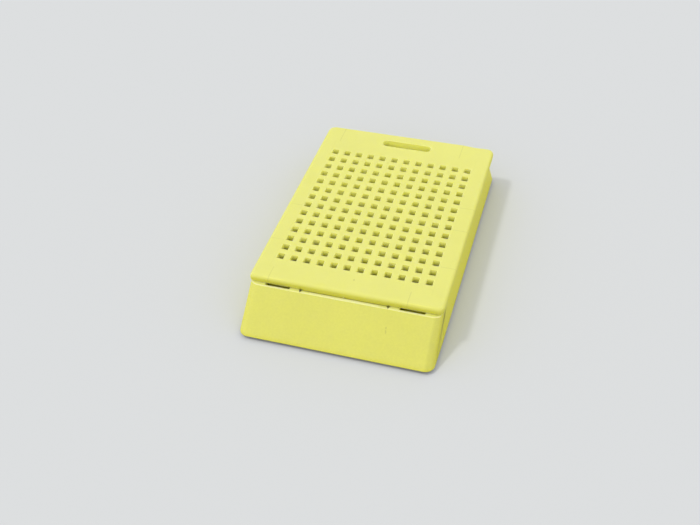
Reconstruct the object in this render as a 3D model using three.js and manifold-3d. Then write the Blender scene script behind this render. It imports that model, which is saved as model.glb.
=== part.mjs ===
// Tissue cassette: a moulded base with a perforated tray and a sloping writing face, and a moulded
// perforated lid that hooks into the front rim and snaps over a catch on the rear wall.
//
// Millimetres, +Z up. The origin is on the surface the cassette rests on, midway between the foot of
// the writing face (-Y) and the rear edge of the lid (+Y), and on the plane of symmetry (X = 0).

import * as THREE from 'three';
import { mergeGeometries, mergeVertices } from 'three/addons/utils/BufferGeometryUtils.js';
import Module from 'manifold-3d';

const wasm = await Module();
wasm.setup();

// ---------------------------------------------------------------- driving dimensions, millimetres

// Overall
const OVERALL_LENGTH = 42.6;     // foot of the writing face to the rear edge of the lid
const OVERALL_WIDTH = 28.4;      // across the foot of the base
const BASE_HEIGHT = 5.25;        // foot to rim
const LID_THICKNESS = 1.0;
const LID_SEAT_GAP = 0.05;       // air between the rim and the closed lid
const MARGIN = 1.0;              // how far a cutter runs past the face it opens

// Walls of the base
const SIDE_WALL = 0.9;
const END_WALL = 0.8;            // upright walls at the two ends of the tray
const DECK = 0.8;                // thickness of the rim decks in front of and behind the tray
const FLOOR = 0.75;
const FLOOR_LIFT = 0.25;         // the floor's underside stands clear of the foot plane
const SIDE_DRAFT = 0.2;          // each side wall leans in this much, foot to rim
const EDGE_EASE = 0.15;          // small bevel on the rim and on other plain edges
const FOOT_UNDERCUT = 0.45;      // below this height the outside turns in towards the foot
const FOOT_INSET = 0.4;          // and by this much,
const FACE_FOOT_INSET = 0.55;    // or by this much under the writing face
const FOOT_BAND = 0.1;           // upright band above the undercut

// Writing face and its cheeks
const FACE_RUN = 5.7;            // how far the face comes forward from rim to foot
const FACE_WALL = 1.13;          // wall of the face, measured level
const FACE_CORNER_RIM = 1.25;    // corner radius in plan at the rim
const FACE_CORNER_FOOT = 1.35;   // corner radius in plan at the foot
const FACE_EDGE_EASE = 0.08;     // bevel between the face and the flat of the rim
const CHEEK_STEP = 0.06;         // the cheeks sit this far inside the tray's side walls
const CHEEK_AT_RIM = 2.6;        // parting line of the cheeks, behind the rim edge
const CHEEK_AT_FOOT = 5.8;       // and behind the foot of the face
const FRONT_DECK = 4.1;          // rim edge to the tray

// Rear wall
const REAR_OVERHANG = 2.9;       // lid's rear edge past the rim of the rear wall
const REAR_FOOT_INSET = 0.1;     // lid's rear edge past the foot of the rear wall
const REAR_SKIN = 0.88;          // wall of the slanting rear face, measured level
const REAR_DECK = 2.5;           // tray to the rear rim
const REAR_CORNER = 0.9;

// Tray
const TRAY_CORNER = 1.0;
const TRAY_DRAFT = 0.1;          // the tray narrows this much on each side towards the floor
const TRAY_FILLET = 0.3;
const FOOT_RING = 0.3;           // the floor's recess is this much smaller than the tray
const RIB_WALL = 0.8;            // gussets in the two hollow ends
const RIB_OFFSET = 7.25;         // gussets each side of the middle

// Perforations
const HOLE = 1.0;                // side of a square hole at the upper face
const HOLE_DRAFT = 0.03;         // each side of a hole closes in by this much through the plate
const HOLE_PITCH_X = 2.0;
const HOLE_PITCH_Y = 1.92;
const HOLE_MARGIN_X = 1.5;       // least distance from a hole's centre to the tray's side
const HOLE_MARGIN_Y = 0.72;      // least distance from a hole's centre to the tray's end
const GRID_SHIFT = -0.08;        // the pattern sits a little forward in the tray
const PIN_OVERRUN = 0.2;         // core pins run past the plate's faces by this much

// Lid
const LID_SIDE_INSET = 0.1;      // lid's long edge inside the foot of the side wall
const LID_FRONT_INSET = 0.5;     // lid's front lip behind the rim edge
const LID_FRONT_CORNER = 0.8;
const LID_REAR_CORNER = 1.1;
const LID_TOP_ROUND = 0.46;
const LID_LOWER_EASE = 0.06;
const FRAME_RIB = 0.4;           // locating frame under the lid: thickness
const FRAME_DEPTH = 0.5;         // and depth
const FRAME_CLEARANCE = 0.2;     // to the tray's walls

// Front tongue and hooks
const TONGUE_WIDTH = 12.3;
const TONGUE_DROP = 0.35;
const TONGUE_BACK = 0.85;        // from the lip's face to the back of the tongue
const TONGUE_END_CLEARANCE = 0.45;
const TONGUE_FRONT_CLEARANCE = 0.03;
const TONGUE_REAR_CLEARANCE = 0.3;
const TONGUE_UNDER_CLEARANCE = 0.1;
const RIM_RIDGE = 0.3;           // ridge of the rim left in front of the hooks' slots
const HOOK_OFFSET = 9.8;         // hooks each side of the middle
const HOOK_WIDTH = 3.0;
const HOOK_CLEARANCE = 0.3;      // at each side of a hook
const HOOK_DROP = 1.7;
const HOOK_SETBACK = 0.65;       // shank's front face behind the lip's face
const HOOK_SHANK = 0.9;
const HOOK_NOSE = 0.45;          // the nose reaches this far in front of the lip
const HOOK_NOSE_HEIGHT = 0.35;
const HOOK_SLOT_LENGTH = 2.6;

// Rear latch, the slot in front of it, and catch
const SLOT_LENGTH = 8.1;
const SLOT_WIDTH = 1.48;
const LATCH_SETBACK = 1.86;      // latch's front face and the slot's rear edge, from the lid's rear edge
const LATCH_WIDTH = 7.7;
const LATCH_THICKNESS = 0.8;
const LATCH_DROP = 2.1;
const BARB = 0.25;
const CATCH_CLEARANCE = 0.09;    // barb to catch as they pass
const CATCH_WIDTH = 7.2;
const CATCH_HEIGHT = 0.65;
const CATCH_LEAD_IN = 0.26;
const WINDOW_WIDTH = 8.4;
const WINDOW_HEIGHT = 2.0;

const CORNER_STEPS = 6;          // facets in a quarter turn in plan
const ROUND_STEPS = 4;           // facets in the round of the lid's upper edge
const WELD = 1e-5;               // points nearer than this are one
const PLASTIC = { color: 0xe6e47c, roughness: 0.5, metalness: 0.0 };

// ---------------------------------------------------------------- derived places

const FOOT_FRONT = -OVERALL_LENGTH / 2;
const LID_REAR = OVERALL_LENGTH / 2;
const RIM_FRONT = FOOT_FRONT + FACE_RUN;
const RIM_REAR = LID_REAR - REAR_OVERHANG;
const FOOT_REAR = LID_REAR - REAR_FOOT_INSET;
const TRAY_FRONT = RIM_FRONT + FRONT_DECK;
const TRAY_REAR = RIM_REAR - REAR_DECK;
const FLOOR_TOP = FLOOR_LIFT + FLOOR;
const DECK_UNDER = BASE_HEIGHT - DECK;
const BAND_TOP = FOOT_UNDERCUT + FOOT_BAND;
const RIM_HALF_WIDTH = OVERALL_WIDTH / 2 - SIDE_DRAFT;
const TRAY_HALF_WIDTH = RIM_HALF_WIDTH - SIDE_WALL;
const LID_UNDER = BASE_HEIGHT + LID_SEAT_GAP;
const LID_TOP = LID_UNDER + LID_THICKNESS;
const LID_FRONT = RIM_FRONT + LID_FRONT_INSET;
const LID_HALF_WIDTH = OVERALL_WIDTH / 2 - LID_SIDE_INSET;
const LATCH_FRONT = LID_REAR - LATCH_SETBACK;
const BOSS_TOP = LID_UNDER + EDGE_EASE; // what stands under the lid reaches this far into its plate
const WINDOW_TOP = BASE_HEIGHT - CATCH_HEIGHT;

// ---------------------------------------------------------------- solids

/** Turns a closed geometry into a manifold solid with shared vertices. */
function solid(geometry) {
  const bare = geometry.index ? geometry.toNonIndexed() : geometry.clone();
  bare.deleteAttribute('normal');
  bare.deleteAttribute('uv');
  const merged = mergeVertices(bare, WELD);
  return new wasm.Manifold(new wasm.Mesh({
    numProp: 3,
    vertProperties: new Float32Array(merged.attributes.position.array),
    triVerts: new Uint32Array(merged.index.array),
  }));
}

/** Turns a manifold solid back into a geometry. */
function geometryOf(manifold) {
  const mesh = manifold.getMesh();
  const geometry = new THREE.BufferGeometry();
  geometry.setAttribute('position', new THREE.BufferAttribute(new Float32Array(mesh.vertProperties), 3));
  geometry.setIndex(new THREE.BufferAttribute(new Uint32Array(mesh.triVerts), 1));
  geometry.computeVertexNormals();
  return geometry;
}

/** Joins a list of solids. */
function joined(solids) {
  return solids.reduce((whole, next) => whole.add(next));
}

/** A rectangle in plan with its own corner radius at the front and at the rear, counter-clockwise. */
function plan(halfWidth, front, rear, frontRadius, rearRadius) {
  const corners = [
    { x: halfWidth - frontRadius, y: front + frontRadius, radius: frontRadius, from: -Math.PI / 2 },
    { x: halfWidth - rearRadius, y: rear - rearRadius, radius: rearRadius, from: 0 },
    { x: rearRadius - halfWidth, y: rear - rearRadius, radius: rearRadius, from: Math.PI / 2 },
    { x: frontRadius - halfWidth, y: front + frontRadius, radius: frontRadius, from: Math.PI },
  ];
  const points = [];
  for (const { x, y, radius, from } of corners) {
    for (let step = 0; step <= CORNER_STEPS; step += 1) {
      const angle = from + (Math.PI / 2) * (step / CORNER_STEPS);
      points.push(new THREE.Vector2(x + radius * Math.cos(angle), y + radius * Math.sin(angle)));
    }
  }
  return points;
}

/** Lofts a solid through outlines of equal length, each at its own height, lowest first. */
function loft(levels) {
  const count = levels[0].outline.length;
  const positions = [];
  for (const { outline, z } of levels) {
    for (const point of outline) {
      positions.push(point.x, point.y, z);
    }
  }
  const index = [];
  for (let level = 0; level + 1 < levels.length; level += 1) {
    for (let i = 0; i < count; i += 1) {
      const a = level * count + i;
      const b = level * count + ((i + 1) % count);
      index.push(a, b, b + count, a, b + count, a + count);
    }
  }
  const last = (levels.length - 1) * count;
  for (const [a, b, c] of THREE.ShapeUtils.triangulateShape(levels[0].outline, [])) {
    index.push(c, b, a);
  }
  for (const [a, b, c] of THREE.ShapeUtils.triangulateShape(levels.at(-1).outline, [])) {
    index.push(last + a, last + b, last + c);
  }
  const geometry = new THREE.BufferGeometry();
  geometry.setAttribute('position', new THREE.Float32BufferAttribute(positions, 3));
  geometry.setIndex(index);
  return solid(geometry);
}

/** A block between two corners. */
function block(low, high) {
  const size = new THREE.Vector3().subVectors(high, low);
  const middle = new THREE.Vector3().addVectors(high, low).multiplyScalar(0.5);
  return solid(new THREE.BoxGeometry(size.x, size.y, size.z).translate(middle.x, middle.y, middle.z));
}

/** A section drawn in the Y-Z plane and extruded along X, centred on the given X. */
function section(points, width, centreX = 0) {
  const shape = new THREE.Shape(points.map(([y, z]) => new THREE.Vector2(y, z)));
  const geometry = new THREE.ExtrudeGeometry(shape, { depth: width, bevelEnabled: false });
  const axes = new THREE.Matrix4().makeBasis(
    new THREE.Vector3(0, 1, 0), new THREE.Vector3(0, 0, 1), new THREE.Vector3(1, 0, 0));
  geometry.applyMatrix4(axes).translate(centreX - width / 2, 0, 0);
  return solid(geometry);
}

/** The square core pins that perforate a plate, as one solid, tapering downwards. */
function perforations(plateUnder, plateTop) {
  const spanX = 2 * (TRAY_HALF_WIDTH - HOLE_MARGIN_X);
  const spanY = TRAY_REAR - TRAY_FRONT - 2 * HOLE_MARGIN_Y;
  const columns = Math.floor(spanX / HOLE_PITCH_X) + 1;
  const rows = Math.floor(spanY / HOLE_PITCH_Y) + 1;
  const centreY = (TRAY_FRONT + TRAY_REAR) / 2 + GRID_SHIFT;
  const slope = HOLE_DRAFT / (plateTop - plateUnder);
  const height = plateTop - plateUnder + 2 * PIN_OVERRUN;
  const halfTop = HOLE / 2 + slope * PIN_OVERRUN;
  const halfBottom = halfTop - slope * height;
  const pin = new THREE.CylinderGeometry(halfTop * Math.SQRT2, halfBottom * Math.SQRT2, height, 4)
    .rotateY(Math.PI / 4)
    .rotateX(Math.PI / 2);
  const pins = [];
  for (let row = 0; row < rows; row += 1) {
    for (let column = 0; column < columns; column += 1) {
      pins.push(pin.clone().translate(
        (column - (columns - 1) / 2) * HOLE_PITCH_X,
        centreY + (row - (rows - 1) / 2) * HOLE_PITCH_Y,
        (plateUnder + plateTop) / 2,
      ));
    }
  }
  return solid(mergeGeometries(pins));
}

// ---------------------------------------------------------------- base

/** How far up the base's slopes a height is: 0 at and below the top of the foot band, 1 at the rim. */
function rise(z) {
  return THREE.MathUtils.clamp((z - BAND_TOP) / (BASE_HEIGHT - BAND_TOP), 0, 1);
}

/** Y of the writing face's outer surface at a height. */
function faceAt(z) {
  return THREE.MathUtils.lerp(FOOT_FRONT, RIM_FRONT, rise(z));
}

/** Y of the rear wall's outer surface at a height. */
function rearAt(z) {
  return THREE.MathUtils.lerp(FOOT_REAR, RIM_REAR, rise(z));
}

/** Half the width across the tray's side walls at a height. */
function sideAt(z) {
  return THREE.MathUtils.lerp(OVERALL_WIDTH / 2, RIM_HALF_WIDTH, rise(z));
}

/** Heights and insets of an outer form whose foot is undercut and whose rim edge is eased. */
function outerLevels(footInset, rimEase) {
  return [
    [0, footInset],
    [FOOT_UNDERCUT, 0],
    [BAND_TOP, 0],
    [BASE_HEIGHT - rimEase, 0],
    [BASE_HEIGHT, rimEase],
  ];
}

/** Outer form of the tray: drafted sides, slanting rear wall, front end along the cheeks' parting line. */
function trayBody() {
  return loft(outerLevels(FOOT_INSET, EDGE_EASE).map(([z, inset]) => {
    const parting = THREE.MathUtils.lerp(FOOT_FRONT + CHEEK_AT_FOOT, RIM_FRONT + CHEEK_AT_RIM, rise(z));
    const corner = REAR_CORNER - inset;
    return { z, outline: plan(sideAt(z) - inset, parting, rearAt(z) - inset, CHEEK_STEP, corner) };
  }));
}

/** Outer form of the writing block: the sloping face, running into cheeks with rounded corners. */
function faceBody() {
  return loft(outerLevels(FACE_FOOT_INSET, FACE_EDGE_EASE).map(([z, inset]) => {
    const corner = THREE.MathUtils.lerp(FACE_CORNER_FOOT, FACE_CORNER_RIM, rise(z)) - inset;
    const halfWidth = sideAt(z) - CHEEK_STEP - Math.min(inset, FOOT_INSET);
    return { z, outline: plan(halfWidth, faceAt(z) + inset, TRAY_FRONT, corner, END_WALL / 2) };
  }));
}

/** The specimen tray, open at the top, with draft and a fillet round the floor. */
function trayHollow() {
  const halfway = TRAY_FILLET * (1 - Math.SQRT1_2);
  const levels = [
    [FLOOR_TOP, TRAY_DRAFT + TRAY_FILLET],
    [FLOOR_TOP + halfway, TRAY_DRAFT + halfway],
    [FLOOR_TOP + TRAY_FILLET, TRAY_DRAFT],
    [BASE_HEIGHT + MARGIN, 0],
  ];
  return loft(levels.map(([z, inset]) => ({
    z,
    outline: plan(TRAY_HALF_WIDTH - inset, TRAY_FRONT + inset, TRAY_REAR - inset, TRAY_CORNER, TRAY_CORNER),
  })));
}

/** The shallow recess that lifts the perforated floor off the bench. */
function floorRecess() {
  const outline = plan(
    TRAY_HALF_WIDTH - FOOT_RING, TRAY_FRONT + FOOT_RING, TRAY_REAR - FOOT_RING, TRAY_CORNER, TRAY_CORNER);
  return loft([{ z: -MARGIN, outline }, { z: FLOOR_LIFT, outline }]);
}

/** The gussets that stand in a hollow end, one each side of the middle. */
function gussets(front, rear) {
  return joined([-1, 1].map((side) => block(
    new THREE.Vector3(side * RIB_OFFSET - RIB_WALL / 2, front, -2 * MARGIN),
    new THREE.Vector3(side * RIB_OFFSET + RIB_WALL / 2, rear, BASE_HEIGHT),
  )));
}

/** The hollow behind the writing face, open underneath and split into cells by two gussets. */
function faceHollow() {
  const hollow = loft([-MARGIN, BAND_TOP, DECK_UNDER].map((z) => {
    const halfWidth = sideAt(z) - CHEEK_STEP - SIDE_WALL;
    const rear = TRAY_FRONT - END_WALL;
    return { z, outline: plan(halfWidth, faceAt(z) + FACE_WALL, rear, FACE_CORNER_RIM, END_WALL / 2) };
  }));
  return hollow.subtract(gussets(FOOT_FRONT, TRAY_FRONT));
}

/** The hollow between the tray and the slanting rear wall, open underneath. */
function rearHollow() {
  const hollow = loft([-MARGIN, BAND_TOP, DECK_UNDER].map((z) => {
    const front = TRAY_REAR + END_WALL;
    return { z, outline: plan(sideAt(z) - SIDE_WALL, front, rearAt(z) - REAR_SKIN, END_WALL / 2, END_WALL / 2) };
  }));
  return hollow.subtract(gussets(TRAY_REAR, LID_REAR));
}

/** The slots in the front deck that take the lid's hooks. */
function hookSlots() {
  const width = HOOK_WIDTH + 2 * HOOK_CLEARANCE;
  return joined([-1, 1].map((side) => block(
    new THREE.Vector3(side * HOOK_OFFSET - width / 2, RIM_FRONT + RIM_RIDGE, DECK_UNDER - FACE_WALL),
    new THREE.Vector3(side * HOOK_OFFSET + width / 2, RIM_FRONT + RIM_RIDGE + HOOK_SLOT_LENGTH, BASE_HEIGHT + MARGIN),
  )));
}

/** The shallow recess in the front deck that takes the lid's tongue. */
function tongueRecess() {
  const halfWidth = TONGUE_WIDTH / 2 + TONGUE_END_CLEARANCE;
  const front = LID_FRONT - TONGUE_FRONT_CLEARANCE;
  const rear = LID_FRONT + TONGUE_BACK + TONGUE_REAR_CLEARANCE;
  const floor = LID_UNDER - TONGUE_DROP - TONGUE_UNDER_CLEARANCE;
  return block(
    new THREE.Vector3(-halfWidth, front, floor),
    new THREE.Vector3(halfWidth, rear, BASE_HEIGHT + MARGIN),
  );
}

/** The window through the rear skin, below the catch, where the barb stands. */
function latchWindow() {
  return block(
    new THREE.Vector3(-WINDOW_WIDTH / 2, RIM_REAR - LATCH_DROP / 2, WINDOW_TOP - WINDOW_HEIGHT),
    new THREE.Vector3(WINDOW_WIDTH / 2, LID_REAR + MARGIN, WINDOW_TOP),
  );
}

/** The catch: a nose on the rear rim with a lead-in on its upper edge. */
function catchNose() {
  const tip = LATCH_FRONT - BARB - CATCH_CLEARANCE;
  return section([
    [RIM_REAR - REAR_DECK / 2, WINDOW_TOP],
    [tip - EDGE_EASE / 2, WINDOW_TOP],
    [tip, WINDOW_TOP + EDGE_EASE / 2],
    [tip, BASE_HEIGHT - CATCH_LEAD_IN],
    [tip - CATCH_LEAD_IN, BASE_HEIGHT],
    [RIM_REAR - REAR_DECK / 2, BASE_HEIGHT],
  ], CATCH_WIDTH);
}

/** The moulded base. */
function buildBase() {
  return trayBody()
    .add(faceBody())
    .subtract(trayHollow())
    .subtract(floorRecess())
    .subtract(faceHollow())
    .subtract(rearHollow())
    .subtract(hookSlots())
    .subtract(tongueRecess())
    .subtract(latchWindow())
    .add(catchNose())
    .subtract(perforations(FLOOR_LIFT, FLOOR_TOP));
}

// ---------------------------------------------------------------- lid

/** The lid's plate, with a rounded upper edge and an eased lower one. */
function lidPlate() {
  const levels = [[LID_UNDER, LID_LOWER_EASE], [LID_UNDER + LID_LOWER_EASE, 0]];
  for (let step = 0; step <= ROUND_STEPS; step += 1) {
    const angle = (Math.PI / 2) * (step / ROUND_STEPS);
    const z = LID_TOP - LID_TOP_ROUND * (1 - Math.sin(angle));
    levels.push([z, LID_TOP_ROUND * (1 - Math.cos(angle))]);
  }
  return loft(levels.map(([z, inset]) => ({
    z,
    outline: plan(
      LID_HALF_WIDTH - inset, LID_FRONT + inset, LID_REAR - inset,
      LID_FRONT_CORNER - inset, LID_REAR_CORNER - inset),
  })));
}

/** The locating frame under the plate, which drops just inside the tray. */
function locatingFrame() {
  const ring = (inset) => plan(
    TRAY_HALF_WIDTH - inset, TRAY_FRONT + inset, TRAY_REAR - inset, TRAY_CORNER, TRAY_CORNER);
  const bottom = LID_UNDER - FRAME_DEPTH;
  const outer = ring(FRAME_CLEARANCE);
  const inner = ring(FRAME_CLEARANCE + FRAME_RIB);
  return loft([{ z: bottom, outline: outer }, { z: BOSS_TOP, outline: outer }])
    .subtract(loft([{ z: bottom - MARGIN, outline: inner }, { z: LID_UNDER, outline: inner }]));
}

/** The tongue: the middle of the front lip, a little deeper than the rest. */
function tongue() {
  const bottom = LID_UNDER - TONGUE_DROP;
  const ease = TONGUE_DROP / 2;
  return section([
    [LID_FRONT, BOSS_TOP],
    [LID_FRONT, bottom + ease],
    [LID_FRONT + ease, bottom],
    [LID_FRONT + TONGUE_BACK, bottom],
    [LID_FRONT + TONGUE_BACK, BOSS_TOP],
  ], TONGUE_WIDTH);
}

/** One hook: a shank through the deck with a nose that reaches under the rim's ridge. */
function hook(centreX) {
  const shankFront = LID_FRONT + HOOK_SETBACK;
  const shankRear = shankFront + HOOK_SHANK;
  const bottom = LID_UNDER - HOOK_DROP;
  return section([
    [shankFront, BOSS_TOP],
    [shankFront, bottom + 2 * HOOK_NOSE_HEIGHT],
    [LID_FRONT - HOOK_NOSE, bottom + HOOK_NOSE_HEIGHT],
    [LID_FRONT - HOOK_NOSE, bottom + EDGE_EASE],
    [LID_FRONT - HOOK_NOSE + EDGE_EASE, bottom],
    [shankRear - HOOK_SHANK / 2, bottom],
    [shankRear, bottom + 2 * HOOK_NOSE_HEIGHT],
    [shankRear, BOSS_TOP],
  ], HOOK_WIDTH, centreX);
}

/** The latch: a short wall under the lid's rear edge with a barb that faces the catch. */
function latch() {
  const bottom = LID_UNDER - LATCH_DROP;
  const barbTop = WINDOW_TOP - EDGE_EASE;
  return section([
    [LATCH_FRONT, BOSS_TOP],
    [LATCH_FRONT, barbTop],
    [LATCH_FRONT - BARB, barbTop - BARB],
    [LATCH_FRONT - BARB, bottom + 2 * BARB],
    [LATCH_FRONT + BARB / 2, bottom],
    [LATCH_FRONT + LATCH_THICKNESS - BARB, bottom],
    [LATCH_FRONT + LATCH_THICKNESS, bottom + BARB],
    [LATCH_FRONT + LATCH_THICKNESS, BOSS_TOP],
  ], LATCH_WIDTH);
}

/** The slot with round ends in front of the latch, which lets the mould form the barb. */
function latchSlot() {
  const radius = SLOT_WIDTH / 2;
  const outline = plan(SLOT_LENGTH / 2, LATCH_FRONT - SLOT_WIDTH, LATCH_FRONT, radius, radius);
  return loft([{ z: LID_UNDER - MARGIN, outline }, { z: LID_TOP + MARGIN, outline }]);
}

/** The moulded lid. */
function buildLid() {
  return lidPlate()
    .subtract(latchSlot())
    .add(locatingFrame())
    .add(tongue())
    .add(hook(-HOOK_OFFSET))
    .add(hook(HOOK_OFFSET))
    .add(latch())
    .subtract(perforations(LID_UNDER, LID_TOP));
}

// ---------------------------------------------------------------- assembly

/** Wraps a solid as a named mesh with a plastic of its own. */
function moulding(name, manifold) {
  const mesh = new THREE.Mesh(geometryOf(manifold), new THREE.MeshStandardMaterial(PLASTIC));
  mesh.name = name;
  return mesh;
}

const cassette = new THREE.Group();
cassette.add(moulding('cassette_base', buildBase()));
cassette.add(moulding('cassette_lid', buildLid()));

export default cassette;
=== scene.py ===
"""Tissue cassette: a moulded acetal base and a perforated acetal lid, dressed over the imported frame."""

import logging
import math
from dataclasses import dataclass
from enum import Enum

import bmesh
import bpy
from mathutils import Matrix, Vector
from mathutils.kdtree import KDTree


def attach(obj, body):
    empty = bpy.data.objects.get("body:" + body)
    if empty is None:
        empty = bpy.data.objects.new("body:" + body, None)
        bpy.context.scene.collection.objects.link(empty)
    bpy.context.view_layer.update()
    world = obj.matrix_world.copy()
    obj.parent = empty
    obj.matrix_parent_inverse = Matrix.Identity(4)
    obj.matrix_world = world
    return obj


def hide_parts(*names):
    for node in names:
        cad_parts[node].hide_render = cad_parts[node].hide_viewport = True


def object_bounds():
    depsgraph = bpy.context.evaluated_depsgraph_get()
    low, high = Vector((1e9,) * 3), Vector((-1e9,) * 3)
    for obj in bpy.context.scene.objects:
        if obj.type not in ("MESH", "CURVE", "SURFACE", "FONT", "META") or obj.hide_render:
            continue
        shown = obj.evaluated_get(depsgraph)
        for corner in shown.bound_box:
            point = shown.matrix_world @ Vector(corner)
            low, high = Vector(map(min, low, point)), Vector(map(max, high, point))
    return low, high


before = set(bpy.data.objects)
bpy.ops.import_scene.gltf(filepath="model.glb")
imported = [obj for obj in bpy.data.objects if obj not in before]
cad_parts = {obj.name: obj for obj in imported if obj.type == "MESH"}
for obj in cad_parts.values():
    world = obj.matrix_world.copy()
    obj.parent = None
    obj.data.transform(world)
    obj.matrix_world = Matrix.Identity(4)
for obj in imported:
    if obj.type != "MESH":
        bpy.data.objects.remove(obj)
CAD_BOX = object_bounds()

LOG = logging.getLogger("tissue_cassette")
MM = 0.001
WELD = 0.002 * MM                # points of the frame's solids that are this close are one point
ON_PLANE = 1e-8                  # and this close to a cutting plane they lie on it
TOUCH_MM = 0.005                 # points are found by their place within this
FLAT = math.radians(0.5)         # faces that turn less than this are one face
CREASE = math.radians(28.0)      # edges that turn more than this are rounded
SHARP = math.radians(40.0)       # and what turns more than this afterwards is shaded sharp
SAMPLE_MM = 0.25                 # spacing of the places by which a crease is found again
AREA_WEIGHT = 100                # the modifier's strongest setting, which keeps large faces flat
NOISE_RANGE = (0.3, 0.7)         # nearly all of a noise lies in this range
MIX_FIRST, MIX_SECOND, MIX_RESULT = 6, 7, 2  # the colour sockets of a Mix node

Colour = tuple[float, float, float, float]


class Axis(Enum):
    """Axes of the frame, numbered as in a vector."""

    X = 0
    Y = 1
    Z = 2


class LightAndWearMask(Enum):
    """Face attributes that the finish reads: where it paints highlights, glow and shade, and where the gate
    nib is paler.
    """

    # painted highlights on rounds that catch the lamp and on the rim strip, and the paler gate nib
    EDGE = "edge_highlight_and_nib"
    # walls of the holes and the slot, painted paler as a glow of light through the plastic
    WEB = "hole_wall"
    # the foot's undercut and downward faces, painted dark as shade
    FOOT_SHADE = "painted_foot_shade"


# ---------------------------------------------------------------- small helpers


def linear(hex_colour: str) -> Colour:
    """Turns an sRGB hex colour into a linear one.

    Args:
        hex_colour: Colour written as #RRGGBB.

    Returns:
        Linear red, green and blue, and 1 for opaque.
    """
    parts = [int(hex_colour[i:i + 2], 16) / 255.0 for i in (1, 3, 5)]
    return (*(p / 12.92 if p <= 0.04045 else ((p + 0.055) / 1.055) ** 2.4 for p in parts), 1.0)


def add_node(tree: bpy.types.NodeTree, kind: str, inputs: dict[str | int, object] | None = None,
             **settings: object) -> bpy.types.Node:
    """Adds one node with its settings, values and links.

    Args:
        tree: Node tree that takes the node.
        kind: Blender's name of the node type.
        inputs: Input name or number to a value, or to the output socket that feeds it.
        **settings: Properties of the node itself.

    Returns:
        The new node.
    """
    node = tree.nodes.new(kind)
    for name, value in settings.items():
        setattr(node, name, value)
    for name, value in (inputs or {}).items():
        if isinstance(value, bpy.types.NodeSocket):
            tree.links.new(value, node.inputs[name])
        else:
            node.inputs[name].default_value = value
    return node


def new_material(name: str) -> tuple[bpy.types.Material, bpy.types.NodeTree]:
    """Makes an empty node material.

    Args:
        name: The material's name.

    Returns:
        The material and its node tree.
    """
    material = bpy.data.materials.new(name)
    material.use_nodes = True
    material.node_tree.nodes.clear()
    return material, material.node_tree


def cut_across(form: bmesh.types.BMesh, axis: Axis, place_mm: float) -> None:
    """Cuts every face of a form along a plane square to an axis, and marks the cut as a seam.

    Args:
        form: Form to cut.
        axis: Axis the plane is square to.
        place_mm: Where the plane crosses that axis.
    """
    point, normal = Vector((0.0, 0.0, 0.0)), Vector((0.0, 0.0, 0.0))
    point[axis.value] = place_mm * MM
    normal[axis.value] = 1.0
    cut = bmesh.ops.bisect_plane(
        form, geom=[*form.verts, *form.edges, *form.faces], dist=ON_PLANE, plane_co=point, plane_no=normal)
    for item in cut["geom_cut"]:
        if isinstance(item, bmesh.types.BMEdge):
            item.seam = True


# ---------------------------------------------------------------- perforations


@dataclass(frozen=True)
class HolePattern:
    """The square pattern of perforations that the lid and the tray's floor share, in millimetres."""

    across: int = 12
    along: int = 14
    pitch_x: float = 2.0
    pitch_y: float = 1.92
    centre_y: float = 2.12
    reach: float = 0.6               # from a hole's middle to just past its wall

    def columns(self) -> list[float]:
        """Gives the X of each column's middle line."""
        return [(i - (self.across - 1) / 2) * self.pitch_x for i in range(self.across)]

    def rows(self) -> list[float]:
        """Gives the Y of each row's middle line."""
        return [self.centre_y + (i - (self.along - 1) / 2) * self.pitch_y for i in range(self.along)]

    def holds(self, spot: Vector) -> bool:
        """Tells whether a place, in metres, lies in the perforated field."""
        return (abs(spot.x) < (self.columns()[-1] + self.reach) * MM
                and (self.rows()[0] - self.reach) * MM < spot.y < (self.rows()[-1] + self.reach) * MM)


PERFORATIONS = HolePattern()


# ---------------------------------------------------------------- finishes


@dataclass(frozen=True)
class MouldLine:
    """A faint line that an edge of a mould insert leaves on the lid, in millimetres.

    It crosses the given axis at a place and runs from one end to the other along the other axis.
    """

    across: Axis
    place: float
    run: tuple[float, float]
    depth: float = 0.07              # how much it darkens the plastic


# Parts of the lid, in millimetres: from front to rear, and its margins beside the holes.
FRONT_STRIP, FIELD, REAR_STRIP = (-15.25, -12.65), (-12.65, 17.45), (17.45, 21.35)
LEFT_MARGIN, RIGHT_MARGIN = (-14.2, -11.8), (11.8, 14.2)
MOULD_LINES = (
    MouldLine(Axis.X, -11.2, REAR_STRIP, 0.09),
    MouldLine(Axis.X, -11.2, FRONT_STRIP, 0.09),
    MouldLine(Axis.X, 9.0, REAR_STRIP, 0.09),
    MouldLine(Axis.X, 9.0, FRONT_STRIP, 0.09),
    MouldLine(Axis.X, -11.85, FIELD, 0.02),
    MouldLine(Axis.X, 11.85, FIELD, 0.02),
    MouldLine(Axis.Y, -7.05, RIGHT_MARGIN),
    MouldLine(Axis.Y, 0.8, RIGHT_MARGIN),
    MouldLine(Axis.Y, 5.8, RIGHT_MARGIN),
    MouldLine(Axis.Y, -7.05, LEFT_MARGIN, 0.05),
    MouldLine(Axis.Y, 0.8, LEFT_MARGIN),
)


@dataclass(frozen=True)
class Mark:
    """A mark from use, a spot of painted shade or a painted highlight: an ellipsoid in which the plastic is
    darker, or paler where its depth is negative.
    """

    centre: tuple[float, float, float]     # in millimetres
    half_size: tuple[float, float, float]  # in millimetres
    lean: float = 0.0                      # sideways, in degrees
    depth: float = 0.16


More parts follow.
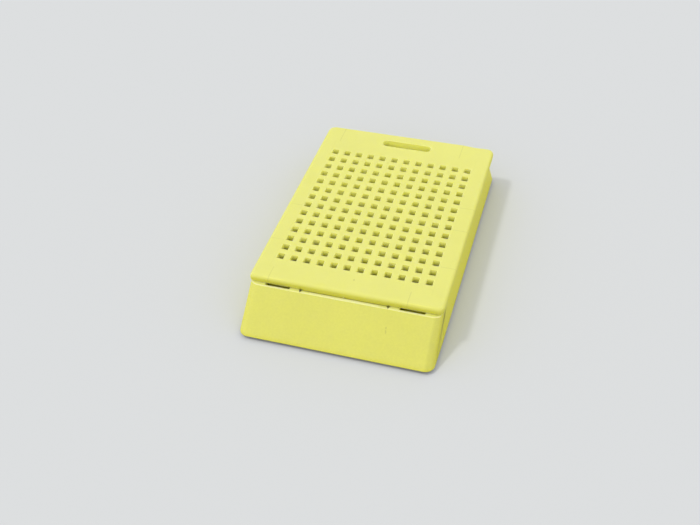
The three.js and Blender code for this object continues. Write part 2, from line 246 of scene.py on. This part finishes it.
BASE_MARKS = (
    Mark((6.67, -17.58, 3.62), (0.12, 0.2, 0.2)),  # two short strokes on the writing face
    Mark((6.72, -18.0, 3.27), (0.1, 0.36, 0.36), -20.0),
    Mark((-6.38, -15.2, 5.15), (0.24, 0.4, 0.24), depth=0.9),  # painted shade in the gaps at the ends of the tongue's recess
    Mark((6.38, -15.2, 5.15), (0.24, 0.4, 0.24), depth=0.9),
    Mark((13.55, -18.45, 2.9), (0.8, 7.0, 8.0), depth=0.085),  # painted shade on the writing face's right end, as from a wider round
)
LID_MARKS = (
    Mark((0.67, -12.42, 6.3), (0.16, 0.2, 0.2)),  # a speck
    Mark((6.38, -15.2, 5.15), (0.24, 0.4, 0.2), depth=0.9),  # painted shade in the gaps at the ends of the tongue
    Mark((-6.38, -15.2, 5.15), (0.24, 0.4, 0.2), depth=0.9),
    Mark((10.5, -14.78, 6.25), (2.7, 0.11, 0.2), depth=-0.06),  # painted highlights along the lip's upper round
    Mark((-10.3, -14.78, 6.25), (2.2, 0.11, 0.2), depth=-0.06),
)


@dataclass(frozen=True)
class MouldedAcetal:
    """Acetal (POM) injected into a spark-eroded steel mould.

    The eye gets a soft satin surface and a saturated yellow where it looks into the plastic's sides. Light is
    painted on top: a paler, drier yellow on upward faces as a painted sheen, a milky yellow in the walls of
    the holes as a painted glow of light through the thin webs, pale edges as painted highlights, and shade at
    the foot.
    """

    name: str
    deep: str                        # sides and underside
    web_glow_low: str                     # walls of the holes at the plate's underside, painted paler still as a glow of light from below
    web_mm: tuple[float, float]      # heights of the perforated plate's two sides
    marks: tuple[Mark, ...]
    lines: tuple[MouldLine, ...] = ()
    line_half_width_mm: float = 0.07
    mark_hardness: float = 2.5       # 1 fades a mark evenly from its middle to its rim
    upward_sheen: str = "#EDEC86"           # painted sheen on faces that look up
    sheen_power: float = 1.6          # how fast the painted sheen goes as a face turns from upward to upright
    sheen_fade_mm: tuple[float, float] | None = None  # heights between which the painted sheen fades towards the foot
    low_sheen_share: float = 0.5     # what is left of the painted sheen below them
    web_glow_top: str = "#E8E588"         # walls of the holes at the plate's top, painted paler as a glow of light through the webs
    highlight_colour: str = "#FFFEA8"        # painted highlight on edges that catch the light
    undercut_shade: str = "#35332A"           # painted shade in the undercut of the foot
    roughness: float = 0.52
    roughness_spread: tuple[float, float] = (-0.03, 0.04)
    polished_roughness: float = 0.36
    grain_mm: float = 0.09           # pits of the spark-eroded mould, drawn a little coarse to show
    grain_depth_mm: float = 0.01
    grain_strength: float = 0.25
    grain_fineness: float = 0.6      # share of the smallest pits
    flow_mm: float = 5.0             # flow marks of the melt
    flow_detail: float = 3.0
    flow_twist: float = 0.6
    flow_tone: tuple[float, float] = (0.985, 1.012)
    mottle_mm: float = 0.3           # cloudiness of the pigment
    mottle: float = 0.004            # share by which it changes the colour
    ior: float = 1.48                # acetal
    scatter: float = 1.0             # share of the light that enters the plastic
    scatter_mm: float = 0.5          # how far light travels in the plastic
    scatter_rgb: tuple[float, float, float] = (1.0, 1.0, 0.4)  # and how far red, green and blue go of that

    def build(self) -> bpy.types.Material:
        """Builds the material.

        Returns:
            The finished material.
        """
        material, tree = new_material(self.name)
        place = add_node(tree, "ShaderNodeTexCoord")
        flow = add_node(
            tree, "ShaderNodeTexNoise",
            {"Vector": place.outputs["Object"], "Scale": 1.0 / (self.flow_mm * MM),
             "Detail": self.flow_detail, "Distortion": self.flow_twist})
        edge = add_node(tree, "ShaderNodeAttribute", attribute_name=LightAndWearMask.EDGE.value).outputs["Fac"]
        colour = self._colour(tree, place, flow, edge)
        grain = add_node(
            tree, "ShaderNodeTexNoise",
            {"Vector": place.outputs["Object"], "Scale": 1.0 / (self.grain_mm * MM),
             "Roughness": self.grain_fineness})
        bump = add_node(
            tree, "ShaderNodeBump",
            {"Height": grain.outputs["Fac"], "Strength": self.grain_strength,
             "Distance": self.grain_depth_mm * MM})
        rough = add_node(
            tree, "ShaderNodeMapRange",
            {"Value": flow.outputs["Fac"], "From Min": NOISE_RANGE[0], "From Max": NOISE_RANGE[1],
             "To Min": self.roughness + self.roughness_spread[0],
             "To Max": self.roughness + self.roughness_spread[1]})
        gloss = add_node(
            tree, "ShaderNodeMix",
            {"Factor": edge, "A": rough.outputs["Result"], "B": self.polished_roughness}, data_type="FLOAT")
        shader = add_node(
            tree, "ShaderNodeBsdfPrincipled",
            {"Base Color": colour, "Roughness": gloss.outputs["Result"],
             "Normal": bump.outputs["Normal"], "IOR": self.ior, "Subsurface Weight": self.scatter,
             "Subsurface Scale": self.scatter_mm * MM, "Subsurface Radius": self.scatter_rgb})
        add_node(tree, "ShaderNodeOutputMaterial", {"Surface": shader.outputs["BSDF"]})
        return material

    def _colour(self, tree: bpy.types.NodeTree, place: bpy.types.Node, flow: bpy.types.Node,
                edge: bpy.types.NodeSocket) -> bpy.types.NodeSocket:
        """Mixes the plastic's colour with its painted sheen, glow, highlights and shade, flow marks, mould
        lines and marks.

        Args:
            tree: Node tree of the material.
            place: Texture coordinates.
            flow: Flow marks.
            edge: 1 on edges with a painted highlight.

        Returns:
            The colour.
        """
        facing = add_node(tree, "ShaderNodeSeparateXYZ", {"Vector": place.outputs["Normal"]})
        spot = add_node(tree, "ShaderNodeSeparateXYZ", {"Vector": place.outputs["Object"]})
        web = add_node(tree, "ShaderNodeAttribute", attribute_name=LightAndWearMask.WEB.value).outputs["Fac"]
        undercut_shade = add_node(tree, "ShaderNodeAttribute", attribute_name=LightAndWearMask.FOOT_SHADE.value).outputs["Fac"]
        low, high = (z * MM for z in self.web_mm)
        height = add_node(
            tree, "ShaderNodeMapRange", {"Value": spot.outputs["Z"], "From Min": low, "From Max": high})
        wall = add_node(
            tree, "ShaderNodeMix",
            {"Factor": height.outputs["Result"], MIX_FIRST: linear(self.web_glow_low),
             MIX_SECOND: linear(self.web_glow_top)}, data_type="RGBA").outputs[MIX_RESULT]
        colour = linear(self.deep)
        # Painted light: sheen on upward faces, glow in the walls of the holes, highlights on edges and shade
        # at the foot.
        for share, other in ((self._painted_sheen(tree, facing, spot), linear(self.upward_sheen)), (web, wall),
                             (edge, linear(self.highlight_colour)), (undercut_shade, linear(self.undercut_shade))):
            colour = add_node(
                tree, "ShaderNodeMix", {"Factor": share, MIX_FIRST: colour, MIX_SECOND: other},
                data_type="RGBA").outputs[MIX_RESULT]
        tone = add_node(
            tree, "ShaderNodeMapRange",
            {"Value": flow.outputs["Fac"], "From Min": NOISE_RANGE[0], "From Max": NOISE_RANGE[1],
             "To Min": self.flow_tone[0], "To Max": self.flow_tone[1]})
        mottle = add_node(
            tree, "ShaderNodeTexNoise",
            {"Vector": place.outputs["Object"], "Scale": 1.0 / (self.mottle_mm * MM)})
        uneven = add_node(
            tree, "ShaderNodeMapRange",
            {"Value": mottle.outputs["Fac"], "From Min": NOISE_RANGE[0], "From Max": NOISE_RANGE[1],
             "To Min": 1.0 - self.mottle, "To Max": 1.0 + self.mottle})
        level = add_node(
            tree, "ShaderNodeMath", {0: tone.outputs["Result"], 1: uneven.outputs["Result"]},
            operation="MULTIPLY").outputs[0]
        level = self._draw_lines(tree, spot, level)
        level = self._draw_marks(tree, place, level)
        return add_node(
            tree, "ShaderNodeVectorMath", {0: colour, "Scale": level}, operation="SCALE").outputs["Vector"]

    def _painted_sheen(self, tree: bpy.types.NodeTree, facing: bpy.types.Node,
              spot: bpy.types.Node) -> bpy.types.NodeSocket:
        """Finds how much painted sheen a face gets.

        Args:
            tree: Node tree of the material.
            facing: Parts of the normal.
            spot: Parts of the place.

        Returns:
            1 on faces that look straight up, and less as they turn away or lie low near the foot.
        """
        # Painted sheen: upward faces are painted paler, as light from above makes them look.
        upward = add_node(tree, "ShaderNodeMath", {0: facing.outputs["Z"], 1: 0.0}, operation="MAXIMUM")
        sheen_amount = add_node(
            tree, "ShaderNodeMath", {0: upward.outputs[0], 1: self.sheen_power}, operation="POWER").outputs[0]
        if self.sheen_fade_mm is None:
            return sheen_amount
        low, high = (z * MM for z in self.sheen_fade_mm)
        sheen_by_height = add_node(
            tree, "ShaderNodeMapRange",
            {"Value": spot.outputs["Z"], "From Min": low, "From Max": high,
             "To Min": self.low_sheen_share, "To Max": 1.0})
        return add_node(
            tree, "ShaderNodeMath", {0: sheen_amount, 1: sheen_by_height.outputs["Result"]}, operation="MULTIPLY").outputs[0]

    def _draw_lines(self, tree: bpy.types.NodeTree, spot: bpy.types.Node,
                    level: bpy.types.NodeSocket) -> bpy.types.NodeSocket:
        """Darkens the mould lines a little.

        Args:
            tree: Node tree of the material.
            spot: Parts of the place.
            level: Brightness so far.

        Returns:
            The new brightness.
        """
        for line in self.lines:
            crossed, along = ("X", "Y") if line.across is Axis.X else ("Y", "X")
            start, stop = line.run
            near = add_node(
                tree, "ShaderNodeMath",
                {0: spot.outputs[crossed], 1: line.place * MM, 2: self.line_half_width_mm * MM},
                operation="COMPARE")
            within = add_node(
                tree, "ShaderNodeMath",
                {0: spot.outputs[along], 1: (start + stop) / 2 * MM, 2: (stop - start) / 2 * MM},
                operation="COMPARE")
            both = add_node(
                tree, "ShaderNodeMath", {0: near.outputs[0], 1: within.outputs[0]}, operation="MULTIPLY")
            level = self._darken(tree, level, both.outputs[0], line.depth)
        return level

    def _draw_marks(self, tree: bpy.types.NodeTree, place: bpy.types.Node,
                    level: bpy.types.NodeSocket) -> bpy.types.NodeSocket:
        """Darkens or lightens the marks from use and the spots of painted shade and painted highlight.

        Args:
            tree: Node tree of the material.
            place: Texture coordinates.
            level: Brightness so far.

        Returns:
            The new brightness.
        """
        for mark in self.marks:
            local = add_node(
                tree, "ShaderNodeMapping",
                {"Vector": place.outputs["Object"], "Location": [c * MM for c in mark.centre],
                 "Rotation": (0.0, math.radians(mark.lean), 0.0), "Scale": [h * MM for h in mark.half_size]},
                vector_type="TEXTURE")
            fade = add_node(
                tree, "ShaderNodeTexGradient", {"Vector": local.outputs[0]}, gradient_type="SPHERICAL")
            inside = add_node(
                tree, "ShaderNodeMath", {0: fade.outputs["Fac"], 1: self.mark_hardness},
                operation="MULTIPLY", use_clamp=True)
            level = self._darken(tree, level, inside.outputs[0], mark.depth)
        return level

    @staticmethod
    def _darken(tree: bpy.types.NodeTree, level: bpy.types.NodeSocket, where: bpy.types.NodeSocket,
                depth: float) -> bpy.types.NodeSocket:
        """Darkens a level where a mask is 1.

        Args:
            tree: Node tree of the material.
            level: Brightness so far.
            where: Mask.
            depth: How much the mask takes away.

        Returns:
            The new brightness.
        """
        shade = add_node(tree, "ShaderNodeMath", {0: where, 1: -depth, 2: 1.0}, operation="MULTIPLY_ADD")
        return add_node(
            tree, "ShaderNodeMath", {0: level, 1: shade.outputs[0]}, operation="MULTIPLY").outputs[0]


@dataclass(frozen=True)
class MattPaper:
    """Seamless studio paper: uncoated, so it is plain, pale and has no gloss."""

    name: str = "seamless_studio_paper"
    colour: str = "#DDDFE0"

    def build(self) -> bpy.types.Material:
        """Builds the material.

        Returns:
            The finished material.
        """
        material, tree = new_material(self.name)
        shader = add_node(
            tree, "ShaderNodeBsdfPrincipled",
            {"Base Color": linear(self.colour), "Roughness": 1.0, "Specular IOR Level": 0.0})
        add_node(tree, "ShaderNodeOutputMaterial", {"Surface": shader.outputs["BSDF"]})
        return material


BASE_ACETAL = MouldedAcetal(
    "acetal_moulded_base", deep="#E0DB38", web_glow_low="#FBF9A6", web_mm=(0.25, 1.0), marks=BASE_MARKS,
    sheen_fade_mm=(0.62, 0.95), web_glow_top="#EDEB98", highlight_colour="#FFF9A8", mottle=0.02)
LID_ACETAL = MouldedAcetal(
    "acetal_moulded_lid", deep="#DBD74C", web_glow_low="#FFFE98", web_mm=(5.7, 6.3), marks=LID_MARKS,
    lines=MOULD_LINES)


# ---------------------------------------------------------------- mouldings


@dataclass
class Moulding:
    """A rigid moulding whose form comes from the frame, with its edges rounded as the mould leaves them."""

    name: str
    node: str
    body: str
    slot: str
    finish: MouldedAcetal
    plate_mm: tuple[float, float]    # heights between which the perforated plate lies
    edge_radius_mm: float = 0.06
    hole_radius_mm: float = 0.07
    edge_segments: int = 2
    upright: float = 0.3             # the normal of a wall rises less than this
    highlight_rise: float = 0.2           # rounds of holes get a painted highlight where their normal rises more than this
    highlight_lean: float = 0.25          # and leans to the rear or the left by more than this
    shaded_lean: float = 0.3         # other rounds get a painted highlight unless they lean to the right, away from the lamp, by this
    slot_mm: tuple[float, float, float] = (17.8, 19.6, 4.3)  # the lid's slot: front, rear and half its length
    slot_heights_mm: tuple[float, float] = (3.0, 6.2)  # heights that are seen through it

    def merged_form(self) -> bmesh.types.BMesh:
        """Copies the frame's solid and merges its loose triangles into whole faces.

        The perforated plates are first cut along the middle lines of their holes, so that no face has to
        run round a hole.

        Returns:
            The merged form.
        """
        form = bmesh.new()
        form.from_mesh(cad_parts[self.node].data)
        bmesh.ops.remove_doubles(form, verts=form.verts, dist=WELD)
        for axis, places in ((Axis.X, PERFORATIONS.columns()), (Axis.Y, PERFORATIONS.rows())):
            for place in places:
                cut_across(form, axis, place)
        bmesh.ops.dissolve_limit(
            form, angle_limit=FLAT, use_dissolve_boundaries=False,
            verts=form.verts, edges=form.edges, delimit={"SEAM"})
        return form

    def adjust(self, form: bmesh.types.BMesh) -> None:
        """Fits the merged form to what wear and the mould leave on this piece, where they leave anything."""

    def finish_form(self, form: bmesh.types.BMesh) -> None:
        """Adds what this piece has on top of its rounded form, where it has anything."""

    def stays_sharp(self, edge: bmesh.types.BMEdge) -> bool:
        """Tells whether a crease is too shallow to round."""
        return False

    def borders_hole(self, edge: bmesh.types.BMEdge) -> bool:
        """Tells whether an edge belongs to a hole of the perforated plate."""
        low, high = (z * MM for z in self.plate_mm)
        return all(low < v.co.z < high and PERFORATIONS.holds(v.co) for v in edge.verts)

    def round_edges(self, form: bmesh.types.BMesh, of_holes: bool, radius_mm: float) -> None:
        """Rounds the creases of the holes or all the others, and paints a highlight on rounds that stick out.

        Rounds that look to the right, away from the lamp, keep their colour, as do those on the left and rear
        of a hole.

        Args:
            form: Form to round.
            of_holes: True for the creases of the holes.
            radius_mm: Radius of the rounds.
        """
        highlight_and_nib_layer = form.faces.layers.float[LightAndWearMask.EDGE.value]
        creases = [e for e in form.edges if len(e.link_faces) == 2 and e.calc_face_angle() > CREASE
                   and self.borders_hole(e) is of_holes and not self.stays_sharp(e)]
        spots = []
        for edge in creases:
            start, stop = (v.co.copy() for v in edge.verts)
            steps = max(1, round((stop - start).length / (SAMPLE_MM * MM)))
            spots += [(start.lerp(stop, i / steps), edge.is_convex) for i in range(steps + 1)]
        nearest = KDTree(len(spots))
        for number, (spot, _) in enumerate(spots):
            nearest.insert(spot, number)
        nearest.balance()
        rounds = bmesh.ops.bevel(
            form, geom=creases, offset=radius_mm * MM, offset_type="OFFSET", segments=self.edge_segments,
            profile=0.5, affect="EDGES", clamp_overlap=False, material=-1, loop_slide=True)
        for face in rounds["faces"]:
            face.normal_update()
            _, number, _ = nearest.find(face.calc_center_median())
            right, back, up = face.normal
            if of_holes:
                catches_light = up > self.highlight_rise and (back > self.highlight_lean or right < -self.highlight_lean)
            else:
                catches_light = right < self.shaded_lean
            # Convex rounds that catch the light get a painted highlight.
            face[highlight_and_nib_layer] = 1.0 if spots[number][1] and catches_light else 0.0

    def mark_webs(self, form: bmesh.types.BMesh) -> None:
        """Marks the walls of the holes, and what the slot near the lid's rear edge shows, for a painted glow
        of light through the plastic.

        Args:
            form: Form to mark.
        """
        web = form.faces.layers.float[LightAndWearMask.WEB.value]
        low, high = (z * MM for z in self.plate_mm)
        front, rear, half = (size * MM for size in self.slot_mm)
        bottom, top = (z * MM for z in self.slot_heights_mm)
        for face in form.faces:
            centre = face.calc_center_median()
            wall = low < centre.z < high and abs(face.normal.z) < self.upright and PERFORATIONS.holds(centre)
            in_slot = front < centre.y < rear and abs(centre.x) < half and bottom < centre.z < top
            if wall or in_slot:
                face[web] = 1.0

    def shape(self) -> bmesh.types.BMesh:
        """Builds the whole form.

        Returns:
            The finished form.
        """
        form = self.merged_form()
        self.adjust(form)
        for wear in LightAndWearMask:
            form.faces.layers.float.new(wear.value)
        self.round_edges(form, True, self.hole_radius_mm)
        self.round_edges(form, False, self.edge_radius_mm)
        self.mark_webs(form)
        self.finish_form(form)
        self.keep_in_frame(form)
        return form

    def keep_in_frame(self, form: bmesh.types.BMesh) -> None:
        """Draws anything that the rounding pushed out back into the frame's box.

        Args:
            form: Form to fit.
        """
        for vert in form.verts:
            for axis in Axis:
                low, high = (corner[axis.value] for corner in CAD_BOX)
                vert.co[axis.value] = min(max(vert.co[axis.value], low), high)

    def build(self) -> bpy.types.Object:
        """Builds the piece, dresses it and ties it to the frame.

        Returns:
            The finished piece.
        """
        form = self.shape()
        mesh = bpy.data.meshes.new(self.name)
        form.to_mesh(mesh)
        form.free()
        mesh.shade_smooth()
        mesh.set_sharp_from_angle(angle=SHARP)
        piece = bpy.data.objects.new(self.name, mesh)
        bpy.context.scene.collection.objects.link(piece)
        weighting = piece.modifiers.new("face_weighted_normals", "WEIGHTED_NORMAL")
        weighting.keep_sharp = True
        weighting.weight = AREA_WEIGHT
        mesh.materials.append(self.finish.build())
        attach(piece, self.body)
        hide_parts(self.node)
        return piece


@dataclass
class CassetteBase(Moulding):
    """The tray with its sloping writing face."""

    name: str = "base_moulding"
    node: str = "cassette_base"
    body: str = "base"
    slot: str = "base_plastic"
    finish: MouldedAcetal = BASE_ACETAL
    plate_mm: tuple[float, float] = (0.2, 1.05)
    recess_front_mm: float = -15.13  # front wall of the tongue's recess in the frame
    recess_wear_mm: float = 0.04     # worn back by the tongue
    slot_front_mm: float = -15.3     # front walls of the hooks' slots
    slot_wear_mm: float = 0.03       # worn back by the hooks
    opening_half_width_mm: float = 12.0  # the recess and the slots lie within this
    rim_mm: tuple[float, float] = (-15.7, -15.0)  # front and rear of the rim strip in front of the lid's lip, which gets a painted highlight
    rim_height_mm: float = 5.0       # and it lies above this
    rim_edge_mm: float = 0.25        # reach of the rim's front edge
    rim_wear_mm: float = 0.08        # by which that edge is worn back
    level_rise: float = 0.8          # the normal of a level face rises more than this
    foot_mm: tuple[float, float] = (0.42, 0.58)  # heights between which the foot's lower edge lies
    foot_wear_mm: float = 0.05       # by which that edge is worn up
    foot_height_mm: float = 0.8      # no edge gets a painted highlight below this
    ground_mm: float = 0.02          # what lies lower stands on the ground
    undercut_rise: float = 0.9       # the normal of the undercut's walls rises or falls less than this
    painted_foot_shade: float = 0.45         # share of painted shade on the foot's downward faces above the undercut
    cheek_mm: float = 13.8           # the shallow steps of the cheeks lie farther out than this

    def stays_sharp(self, edge: bmesh.types.BMEdge) -> bool:
        """Tells whether a crease is a cheek's step, which is too shallow to round."""
        return not edge.is_convex and all(abs(v.co.x) > self.cheek_mm * MM for v in edge.verts)

    def adjust(self, form: bmesh.types.BMesh) -> None:
        """Wears the foot's lower edge, the rim's front edge and the front walls of the recess and the slots.

        Args:
            form: Form to adjust.
        """
        low, high = (z * MM for z in self.foot_mm)
        for vert in form.verts:
            place = vert.co
            if low < place.z < high:
                place.z += self.foot_wear_mm * MM
            if place.z < self.rim_height_mm * MM:
                continue
            if abs(place.x) < self.opening_half_width_mm * MM:
                if abs(place.y - self.recess_front_mm * MM) < TOUCH_MM * MM:
                    place.y -= self.recess_wear_mm * MM
                elif abs(place.y - self.slot_front_mm * MM) < TOUCH_MM * MM:
                    place.y -= self.slot_wear_mm * MM
            if self.rim_mm[0] * MM < place.y < (self.rim_mm[0] + self.rim_edge_mm) * MM:
                place.y += self.rim_wear_mm * MM

    def finish_form(self, form: bmesh.types.BMesh) -> None:
        """Paints shade on the foot's undercut and downward faces, and a highlight on the strip of the rim in
        front of the lid.

        Args:
            form: Form to complete.
        """
        highlight_and_nib_layer = form.faces.layers.float[LightAndWearMask.EDGE.value]
        undercut_shade = form.faces.layers.float[LightAndWearMask.FOOT_SHADE.value]
        front, rear = (y * MM for y in self.rim_mm)
        low, high = self.ground_mm * MM, self.foot_mm[0] * MM
        for face in form.faces:
            centre = face.calc_center_median()
            # At the foot no edge gets a painted highlight, and the undercut and the downward faces above it
            # get painted shade.
            if centre.z < self.foot_height_mm * MM and not PERFORATIONS.holds(centre):
                face[highlight_and_nib_layer] = 0.0
                if low < centre.z < high and abs(face.normal.z) < self.undercut_rise:
                    face[undercut_shade] = 1.0
                elif centre.z > high and face.normal.z < 0.0:
                    face[undercut_shade] = self.painted_foot_shade
            # The rim strip's level faces get a painted highlight.
            if front < centre.y < rear and centre.z > self.rim_height_mm * MM:
                face[highlight_and_nib_layer] = 1.0 if face.normal.z > self.level_rise else 0.0


@dataclass
class CassetteLid(Moulding):
    """The perforated lid with its tongue, hooks, slot and latch."""

    name: str = "lid_moulding"
    node: str = "cassette_lid"
    body: str = "lid"
    slot: str = "lid_plastic"
    finish: MouldedAcetal = LID_ACETAL
    plate_mm: tuple[float, float] = (5.25, 6.35)
    round_start_mm: float = -14.64   # where the top's flat ends and the lip's round begins
    lip_mm: float = -15.1            # the lip's face
    round_reach_mm: float = 0.6      # length of the worn round
    left_corner_mm: tuple[float, float] = (-13.3, -14.3)  # middle of the front left corner's arc
    left_corner_power: float = 4.0   # 2 keeps the arc round, and more makes it squarer
    hook_mm: tuple[float, float] = (8.2, 11.4)  # the hooks lie between these
    hook_rear_mm: float = -13.2
    hook_top_mm: float = 5.4
    hook_spread_mm: float = 0.22     # by which the hooks are spread sideways
    dip_mm: float = 11.0             # where the rear edge sank beside the mould line
    dip_reach_mm: float = 0.1        # to either side of that place
    dip_depth_mm: float = 0.2        # how much it sank there
    corner_dip_mm: float = 0.12      # and how much at its corner
    corner_mm: tuple[float, float] = (19.9, 21.3)  # that corner's round, along the length
    nib_mm: tuple[float, float, float] = (-0.08, -15.1, 5.2)
    nib_size_mm: tuple[float, float, float] = (0.2, 0.2, 0.45)
    nib_polish: float = 0.5

    def adjust(self, form: bmesh.types.BMesh) -> None:
        """Wears the round of the lip's upper edge, squares and sinks two corners and spreads the hooks.

        Args:
            form: Form to adjust.
        """
        for vert in form.verts:
            self._wear_lip(vert.co)
            self._square_left_corner(vert.co)
            self._sink_rear_corner(vert.co)
            self._spread_hooks(vert.co)

    def _wear_lip(self, place: Vector) -> None:
        """Lengthens the round of the lip's upper edge.

        Args:
            place: Point of the form, which is moved.
        """
        stretch = self.round_reach_mm / (self.round_start_mm - self.lip_mm)
        if place.y < (self.round_start_mm + TOUCH_MM) * MM and place.z > self.plate_mm[0] * MM:
            place.y = (self.lip_mm + (place.y / MM - self.lip_mm) * stretch) * MM

    def _square_left_corner(self, place: Vector) -> None:
        """Swells the front left corner's arc.

        Args:
            place: Point of the form, which is moved.
        """
        middle_x, middle_y = (v * MM for v in self.left_corner_mm)
        off_x, off_y = middle_x - place.x, middle_y - place.y
        power = self.left_corner_power
        if off_x > 0.0 and off_y > 0.0:
            swell = math.hypot(off_x, off_y) / (off_x ** power + off_y ** power) ** (1.0 / power)
            place.x = middle_x - off_x * swell
            place.y = middle_y - off_y * swell

    def _sink_rear_corner(self, place: Vector) -> None:
        """Sinks the rear right corner, which shrank in the mould.

        Args:
            place: Point of the form, which is moved.
        """
        beside = place.x / MM - self.dip_mm
        if beside > -self.dip_reach_mm:
            depth = self.dip_depth_mm if beside < self.dip_reach_mm else self.corner_dip_mm
            share = (place.y / MM - self.corner_mm[0]) / (self.corner_mm[1] - self.corner_mm[0])
            place.y -= depth * max(share, 0.0) * MM

    def _spread_hooks(self, place: Vector) -> None:
        """Moves the sides of the hooks apart.

        Args:
            place: Point of the form, which is moved.
        """
        inner, outer = (x * MM for x in self.hook_mm)
        across = abs(place.x)
        if inner < across < outer and place.y < self.hook_rear_mm * MM and place.z < self.hook_top_mm * MM:
            outward = 1.0 if across > (inner + outer) / 2 else -1.0
            place.x = math.copysign(across + outward * self.hook_spread_mm * MM, place.x)

    def finish_form(self, form: bmesh.types.BMesh) -> None:
        """Adds the nib of the gate, broken off at the lip's lower edge.

        Args:
            form: Form to complete.
        """
        highlight_and_nib_layer = form.faces.layers.float[LightAndWearMask.EDGE.value]
        nib = bmesh.ops.create_cube(form, size=MM)["verts"]
        for vert in nib:
            for axis in Axis:
                vert.co[axis.value] = (
                    vert.co[axis.value] * self.nib_size_mm[axis.value] + self.nib_mm[axis.value] * MM)
        for face in {f for v in nib for f in v.link_faces}:
            face[highlight_and_nib_layer] = self.nib_polish


# ---------------------------------------------------------------- studio


@dataclass
class Studio:
    """Floor, soft light and camera."""

    paper: MattPaper = MattPaper()
    floor_half_m: float = 3.0
    dome_strength: float = 0.828
    lamp_strength: float = 0.615
    lamp_angle_deg: float = 8.0      # width of the lamp, which softens its shadows
    lamp_from: tuple[float, float, float] = (-0.486, -0.08, 0.875)  # the way to it from the cassette
    camera_mm: tuple[float, float, float] = (30.0375, -87.3058, 90.3048)
    camera_turn_deg: tuple[float, float, float] = (44.7273, 1.4963, 15.2763)
    sensor_mm: float = 36.0
    lens_mm: float = 42.879
    shift_across: float = -0.0714    # in widths of the picture
    near_mm: float = 5.0             # the camera sees nothing nearer than this
    far_m: float = 20.0              # or farther than this

    def floor(self) -> bpy.types.Object:
        """Lays the floor.

        Returns:
            The floor.
        """
        sheet = bmesh.new()
        bmesh.ops.create_grid(sheet, x_segments=1, y_segments=1, size=self.floor_half_m)
        mesh = bpy.data.meshes.new("studio_floor")
        sheet.to_mesh(mesh)
        sheet.free()
        mesh.materials.append(self.paper.build())
        floor = bpy.data.objects.new("studio_floor", mesh)
        bpy.context.scene.collection.objects.link(floor)
        return floor

    def dome(self) -> bpy.types.World:
        """Hangs an even white dome, which the camera, reflections and light through a piece see as floor.

        Returns:
            The world.
        """
        world = bpy.data.worlds.new("studio_dome")
        world.use_nodes = True
        tree = world.node_tree
        tree.nodes.clear()
        light = add_node(
            tree, "ShaderNodeBackground", {"Color": (1.0, 1.0, 1.0, 1.0), "Strength": self.dome_strength})
        seen = add_node(tree, "ShaderNodeBackground", {"Color": linear(self.paper.colour), "Strength": 1.0})
        rays = add_node(tree, "ShaderNodeLightPath")
        direct = add_node(
            tree, "ShaderNodeMath",
            {0: rays.outputs["Is Camera Ray"], 1: rays.outputs["Is Glossy Ray"]}, operation="MAXIMUM")
        either = add_node(
            tree, "ShaderNodeMath",
            {0: direct.outputs[0], 1: rays.outputs["Is Transmission Ray"]}, operation="MAXIMUM")
        mix = add_node(
            tree, "ShaderNodeMixShader", {0: either.outputs[0], 1: light.outputs[0], 2: seen.outputs[0]})
        add_node(tree, "ShaderNodeOutputWorld", {"Surface": mix.outputs[0]})
        bpy.context.scene.world = world
        return world

    def lamp(self) -> bpy.types.Object:
        """Sets the soft key lamp.

        Returns:
            The lamp.
        """
        data = bpy.data.lights.new("key_lamp", "SUN")
        data.energy = self.lamp_strength
        data.angle = math.radians(self.lamp_angle_deg)
        lamp = bpy.data.objects.new("key_lamp", data)
        lamp.rotation_euler = Vector(self.lamp_from).to_track_quat("Z", "Y").to_euler()
        bpy.context.scene.collection.objects.link(lamp)
        return lamp

    def camera(self) -> bpy.types.Object:
        """Places the camera.

        Returns:
            The camera.
        """
        data = bpy.data.cameras.new("camera")
        data.sensor_width = self.sensor_mm
        data.lens = self.lens_mm
        data.shift_x = self.shift_across
        data.clip_start = self.near_mm * MM
        data.clip_end = self.far_m
        camera = bpy.data.objects.new("camera", data)
        camera.location = Vector(self.camera_mm) * MM
        camera.rotation_euler = [math.radians(turn) for turn in self.camera_turn_deg]
        bpy.context.scene.collection.objects.link(camera)
        bpy.context.scene.camera = camera
        return camera

    def build(self) -> None:
        """Builds the whole studio."""
        self.floor()
        self.dome()
        self.lamp()
        self.camera()
        bpy.context.scene.view_settings.view_transform = "Standard"


# ---------------------------------------------------------------- assembly


def main() -> None:
    """Builds the studio and both mouldings."""
    logging.basicConfig(level=logging.INFO, format="%(name)s: %(message)s")
    Studio().build()
    for part in (CassetteBase(), CassetteLid()):
        piece = part.build()
        LOG.info("%s: %d faces on body %s", piece.name, len(piece.data.polygons), part.body)


if __name__ == "__main__":
    main()
